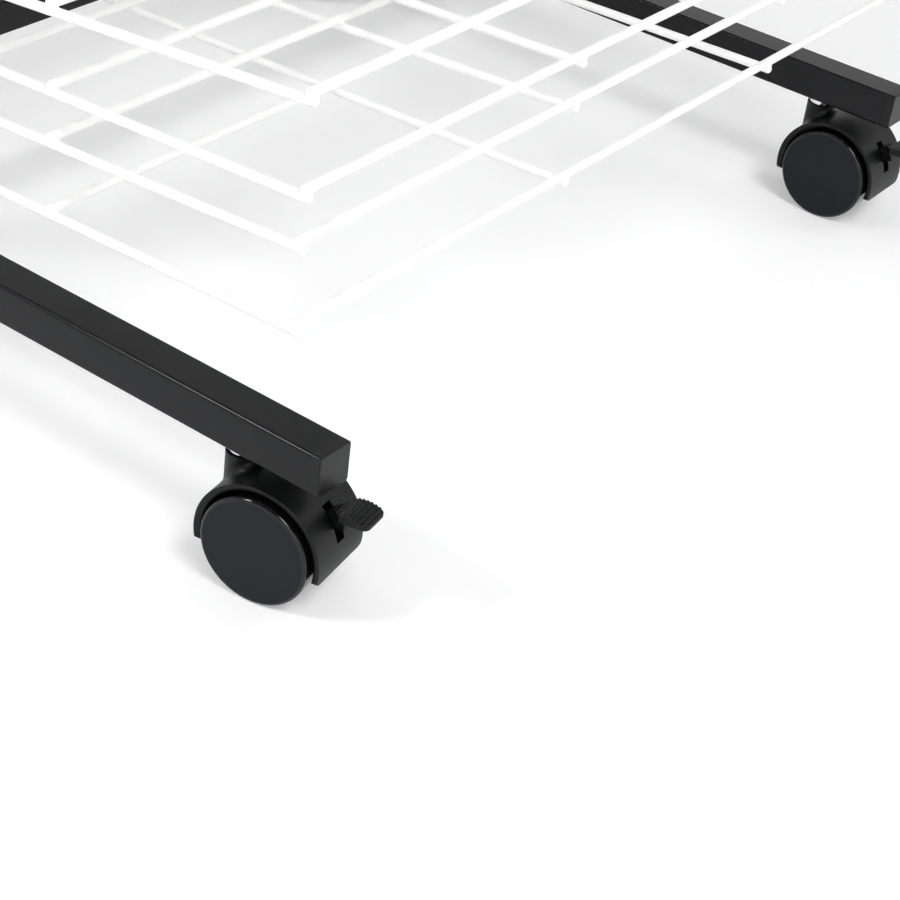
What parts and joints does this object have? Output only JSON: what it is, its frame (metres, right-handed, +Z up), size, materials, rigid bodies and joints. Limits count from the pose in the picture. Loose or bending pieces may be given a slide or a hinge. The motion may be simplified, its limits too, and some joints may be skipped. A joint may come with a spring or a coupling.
{
  "type": "art drying rack",
  "caption": "Mobile drying rack for pictures: hinged white wire shelves on a black square-tube frame with braked twin-wheel casters.",
  "frame": {"origin": "on the floor, at the middle of the rack's width and of its depth from the brake pedals to the rear tube plugs", "axes": "+Z up, -Y the open front where pictures go in, +X to the right of someone who stands at the front"},
  "size_m": [0.5263, 0.4966, 0.5374],
  "materials": {
    "black_powder_coat": "satin black powder coat",
    "white_powder_coat": "glossy white powder coat",
    "grey_plug_plastic": "matt moulded plastic",
    "black_hood_plastic": "fine-grained moulded nylon",
    "black_wheel_plastic": "hard nylon with a polished rim",
    "chrome": "bright chrome plate",
    "zinc_steel": "zinc plated",
    "black_steel": "black oxide"
  },
  "bodies": {
    "frame": {"left_leg": "black_powder_coat", "right_leg": "black_powder_coat", "left_upright": "black_powder_coat", "right_upright": "black_powder_coat", "rear_crossbar": "black_powder_coat", "top_bar": "black_powder_coat", "tube_plugs": "grey_plug_plastic", "frame_screws": "black_steel", "threaded_blocks": "zinc_steel", "caster_stems": "chrome", "stem_nuts": "zinc_steel", "shelf_springs": "zinc_steel", "spring_studs": "zinc_steel"},
    "shelf_body_01": {"shelf_01": "white_powder_coat"},
    "shelf_body_02": {"shelf_02": "white_powder_coat"},
    "shelf_body_03": {"shelf_03": "white_powder_coat"},
    "shelf_body_04": {"shelf_04": "white_powder_coat"},
    "shelf_body_05": {"shelf_05": "white_powder_coat"},
    "shelf_body_06": {"shelf_06": "white_powder_coat"},
    "shelf_body_07": {"shelf_07": "white_powder_coat"},
    "shelf_body_08": {"shelf_08": "white_powder_coat"},
    "shelf_body_09": {"shelf_09": "white_powder_coat"},
    "shelf_body_10": {"shelf_10": "white_powder_coat"},
    "shelf_body_11": {"shelf_11": "white_powder_coat"},
    "shelf_body_12": {"shelf_12": "white_powder_coat"},
    "shelf_body_13": {"shelf_13": "white_powder_coat"},
    "shelf_body_14": {"shelf_14": "white_powder_coat"},
    "shelf_body_15": {"shelf_15": "white_powder_coat"},
    "shelf_body_16": {"shelf_16": "white_powder_coat"},
    "front_left_swivel": {"front_left_caster_hood": "black_hood_plastic", "front_left_caster_axle": "zinc_steel"},
    "front_left_left_wheel_body": {"front_left_caster_left_wheel": "black_wheel_plastic"},
    "front_left_right_wheel_body": {"front_left_caster_right_wheel": "black_wheel_plastic"},
    "front_left_brake": {"front_left_brake_lever": "black_hood_plastic"},
    "front_right_swivel": {"front_right_caster_hood": "black_hood_plastic", "front_right_caster_axle": "zinc_steel"},
    "front_right_left_wheel_body": {"front_right_caster_left_wheel": "black_wheel_plastic"},
    "front_right_right_wheel_body": {"front_right_caster_right_wheel": "black_wheel_plastic"},
    "front_right_brake": {"front_right_brake_lever": "black_hood_plastic"},
    "rear_left_swivel": {"rear_left_caster_hood": "black_hood_plastic", "rear_left_caster_axle": "zinc_steel"},
    "rear_left_left_wheel_body": {"rear_left_caster_left_wheel": "black_wheel_plastic"},
    "rear_left_right_wheel_body": {"rear_left_caster_right_wheel": "black_wheel_plastic"},
    "rear_left_brake": {"rear_left_brake_lever": "black_hood_plastic"},
    "rear_right_swivel": {"rear_right_caster_hood": "black_hood_plastic", "rear_right_caster_axle": "zinc_steel"},
    "rear_right_left_wheel_body": {"rear_right_caster_left_wheel": "black_wheel_plastic"},
    "rear_right_right_wheel_body": {"rear_right_caster_right_wheel": "black_wheel_plastic"},
    "rear_right_brake": {"rear_right_brake_lever": "black_hood_plastic"}
  },
  "joints": [
    {"name": "shelf_hinge_01", "type": "hinge", "parent": "frame", "child": "shelf_body_01", "pos_m": [0, 0.1679, 0.124], "axis": [-1, 0, 0], "range_deg": [0, 44], "deforming": ["shelf_springs"]},
    {"name": "shelf_hinge_02", "type": "hinge", "parent": "frame", "child": "shelf_body_02", "pos_m": [0, 0.1679, 0.148], "axis": [-1, 0, 0], "range_deg": [0, 44]},
    {"name": "shelf_hinge_03", "type": "hinge", "parent": "frame", "child": "shelf_body_03", "pos_m": [0, 0.1679, 0.172], "axis": [-1, 0, 0], "range_deg": [0, 44]},
    {"name": "shelf_hinge_04", "type": "hinge", "parent": "frame", "child": "shelf_body_04", "pos_m": [0, 0.1679, 0.196], "axis": [-1, 0, 0], "range_deg": [0, 44]},
    {"name": "shelf_hinge_05", "type": "hinge", "parent": "frame", "child": "shelf_body_05", "pos_m": [0, 0.1679, 0.22], "axis": [-1, 0, 0], "range_deg": [0, 44]},
    {"name": "shelf_hinge_06", "type": "hinge", "parent": "frame", "child": "shelf_body_06", "pos_m": [0, 0.1679, 0.244], "axis": [-1, 0, 0], "range_deg": [0, 44]},
    {"name": "shelf_hinge_07", "type": "hinge", "parent": "frame", "child": "shelf_body_07", "pos_m": [0, 0.1679, 0.268], "axis": [-1, 0, 0], "range_deg": [0, 44]},
    {"name": "shelf_hinge_08", "type": "hinge", "parent": "frame", "child": "shelf_body_08", "pos_m": [0, 0.1679, 0.292], "axis": [-1, 0, 0], "range_deg": [0, 44]},
    {"name": "shelf_hinge_09", "type": "hinge", "parent": "frame", "child": "shelf_body_09", "pos_m": [0, 0.1679, 0.316], "axis": [-1, 0, 0], "range_deg": [0, 44]},
    {"name": "shelf_hinge_10", "type": "hinge", "parent": "frame", "child": "shelf_body_10", "pos_m": [0, 0.1679, 0.34], "axis": [-1, 0, 0], "range_deg": [0, 44]},
    {"name": "shelf_hinge_11", "type": "hinge", "parent": "frame", "child": "shelf_body_11", "pos_m": [0, 0.1679, 0.364], "axis": [-1, 0, 0], "range_deg": [0, 44]},
    {"name": "shelf_hinge_12", "type": "hinge", "parent": "frame", "child": "shelf_body_12", "pos_m": [0, 0.1679, 0.388], "axis": [-1, 0, 0], "range_deg": [0, 44]},
    {"name": "shelf_hinge_13", "type": "hinge", "parent": "frame", "child": "shelf_body_13", "pos_m": [0, 0.1679, 0.412], "axis": [-1, 0, 0], "range_deg": [0, 44]},
    {"name": "shelf_hinge_14", "type": "hinge", "parent": "frame", "child": "shelf_body_14", "pos_m": [0, 0.1679, 0.436], "axis": [-1, 0, 0], "range_deg": [0, 44]},
    {"name": "shelf_hinge_15", "type": "hinge", "parent": "frame", "child": "shelf_body_15", "pos_m": [0, 0.1679, 0.46], "axis": [-1, 0, 0], "range_deg": [0, 44]},
    {"name": "shelf_hinge_16", "type": "hinge", "parent": "frame", "child": "shelf_body_16", "pos_m": [0, 0.1679, 0.484], "axis": [-1, 0, 0], "range_deg": [0, 44]},
    {"name": "front_left_swivel_joint", "type": "hinge", "parent": "frame", "child": "front_left_swivel", "pos_m": [-0.2425, -0.18615, 0.05], "axis": [0, 0, 1], "continuous": true},
    {"name": "front_left_left_wheel_joint", "type": "hinge", "parent": "front_left_swivel", "child": "front_left_left_wheel_body", "pos_m": [-0.23959, -0.20452, 0.025], "axis": [0.9877, 0.1564, 0], "continuous": true},
    {"name": "front_left_right_wheel_joint", "type": "hinge", "parent": "front_left_swivel", "child": "front_left_right_wheel_body", "pos_m": [-0.23959, -0.20452, 0.025], "axis": [0.9877, 0.1564, 0], "continuous": true},
    {"name": "front_left_brake_joint", "type": "hinge", "parent": "front_left_swivel", "child": "front_left_brake", "pos_m": [-0.23959, -0.20452, 0.025], "axis": [0.9877, 0.1564, 0], "range_deg": [0, 12]},
    {"name": "front_right_swivel_joint", "type": "hinge", "parent": "frame", "child": "front_right_swivel", "pos_m": [0.2425, -0.18615, 0.05], "axis": [0, 0, 1], "continuous": true},
    {"name": "front_right_left_wheel_joint", "type": "hinge", "parent": "front_right_swivel", "child": "front_right_left_wheel_body", "pos_m": [0.2425, -0.20475, 0.025], "axis": [1, 0, 0], "continuous": true},
    {"name": "front_right_right_wheel_joint", "type": "hinge", "parent": "front_right_swivel", "child": "front_right_right_wheel_body", "pos_m": [0.2425, -0.20475, 0.025], "axis": [1, 0, 0], "continuous": true},
    {"name": "front_right_brake_joint", "type": "hinge", "parent": "front_right_swivel", "child": "front_right_brake", "pos_m": [0.2425, -0.20475, 0.025], "axis": [1, 0, 0], "range_deg": [0, 12]},
    {"name": "rear_left_swivel_joint", "type": "hinge", "parent": "frame", "child": "rear_left_swivel", "pos_m": [-0.2425, 0.20265, 0.05], "axis": [0, 0, 1], "continuous": true},
    {"name": "rear_left_left_wheel_joint", "type": "hinge", "parent": "rear_left_swivel", "child": "rear_left_left_wheel_body", "pos_m": [-0.2425, 0.18405, 0.025], "axis": [1, 0, 0], "continuous": true},
    {"name": "rear_left_right_wheel_joint", "type": "hinge", "parent": "rear_left_swivel", "child": "rear_left_right_wheel_body", "pos_m": [-0.2425, 0.18405, 0.025], "axis": [1, 0, 0], "continuous": true},
    {"name": "rear_left_brake_joint", "type": "hinge", "parent": "rear_left_swivel", "child": "rear_left_brake", "pos_m": [-0.2425, 0.18405, 0.025], "axis": [1, 0, 0], "range_deg": [0, 12]},
    {"name": "rear_right_swivel_joint", "type": "hinge", "parent": "frame", "child": "rear_right_swivel", "pos_m": [0.2425, 0.20265, 0.05], "axis": [0, 0, 1], "continuous": true},
    {"name": "rear_right_left_wheel_joint", "type": "hinge", "parent": "rear_right_swivel", "child": "rear_right_left_wheel_body", "pos_m": [0.2425, 0.18405, 0.025], "axis": [1, 0, 0], "continuous": true},
    {"name": "rear_right_right_wheel_joint", "type": "hinge", "parent": "rear_right_swivel", "child": "rear_right_right_wheel_body", "pos_m": [0.2425, 0.18405, 0.025], "axis": [1, 0, 0], "continuous": true},
    {"name": "rear_right_brake_joint", "type": "hinge", "parent": "rear_right_swivel", "child": "rear_right_brake", "pos_m": [0.2425, 0.18405, 0.025], "axis": [1, 0, 0], "range_deg": [0, 12]}
  ],
  "couplings": [
    {"joint": "shelf_hinge_02", "follows": "shelf_hinge_01", "ratio": 1},
    {"joint": "shelf_hinge_03", "follows": "shelf_hinge_01", "ratio": 1},
    {"joint": "shelf_hinge_04", "follows": "shelf_hinge_01", "ratio": 1},
    {"joint": "shelf_hinge_05", "follows": "shelf_hinge_01", "ratio": 1},
    {"joint": "shelf_hinge_06", "follows": "shelf_hinge_01", "ratio": 1},
    {"joint": "shelf_hinge_07", "follows": "shelf_hinge_01", "ratio": 1},
    {"joint": "shelf_hinge_08", "follows": "shelf_hinge_01", "ratio": 1},
    {"joint": "shelf_hinge_09", "follows": "shelf_hinge_01", "ratio": 1},
    {"joint": "shelf_hinge_10", "follows": "shelf_hinge_01", "ratio": 1},
    {"joint": "shelf_hinge_11", "follows": "shelf_hinge_01", "ratio": 1},
    {"joint": "shelf_hinge_12", "follows": "shelf_hinge_01", "ratio": 1},
    {"joint": "shelf_hinge_13", "follows": "shelf_hinge_01", "ratio": 1},
    {"joint": "shelf_hinge_14", "follows": "shelf_hinge_01", "ratio": 1},
    {"joint": "shelf_hinge_15", "follows": "shelf_hinge_01", "ratio": 1},
    {"joint": "shelf_hinge_16", "follows": "shelf_hinge_01", "ratio": 1}
  ]
}
